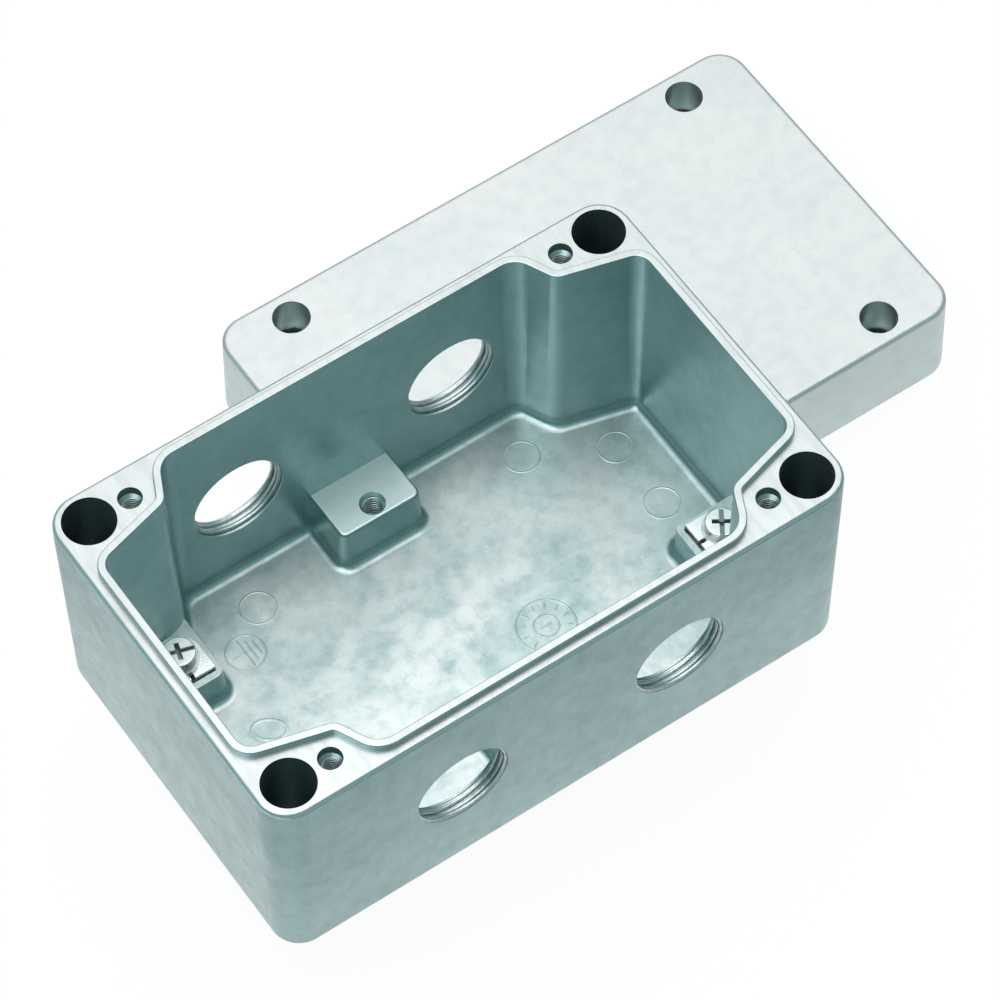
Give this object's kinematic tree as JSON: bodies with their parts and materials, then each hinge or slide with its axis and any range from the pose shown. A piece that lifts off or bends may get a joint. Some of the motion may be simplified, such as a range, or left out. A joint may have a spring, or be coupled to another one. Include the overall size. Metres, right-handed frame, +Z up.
{
  "type": "die cast aluminium box",
  "caption": "Open die cast aluminium enclosure with threaded cable entries, corner wells, sealing lip and earth clamps, standing on its taken-off lid.",
  "frame": {"origin": "middle of the base's underside", "axes": "+X along the long walls, +Y across them towards the wall nearest the lid, +Z up out of the open box"},
  "size_m": [0.2401, 0.1599, 0.0913],
  "materials": {
    "base_casting": "die cast, tumbled",
    "lid_casting": "die cast, tumbled",
    "screw": "zinc plated",
    "clamp": "nickel plated sheet",
    "washer": "zinc plated",
    "seal": "matt"
  },
  "bodies": {
    "root": {"base_casting": "base_casting", "lid_casting": "lid_casting", "lid_seal": "seal", "lid_screw_1": "screw", "lid_screw_2": "screw", "lid_screw_3": "screw", "lid_screw_4": "screw", "earth_clamp_left": "clamp", "earth_washer_left": "washer", "earth_screw_left": "screw", "earth_clamp_right": "clamp", "earth_washer_right": "washer", "earth_screw_right": "screw"}
  },
  "joints": []
}
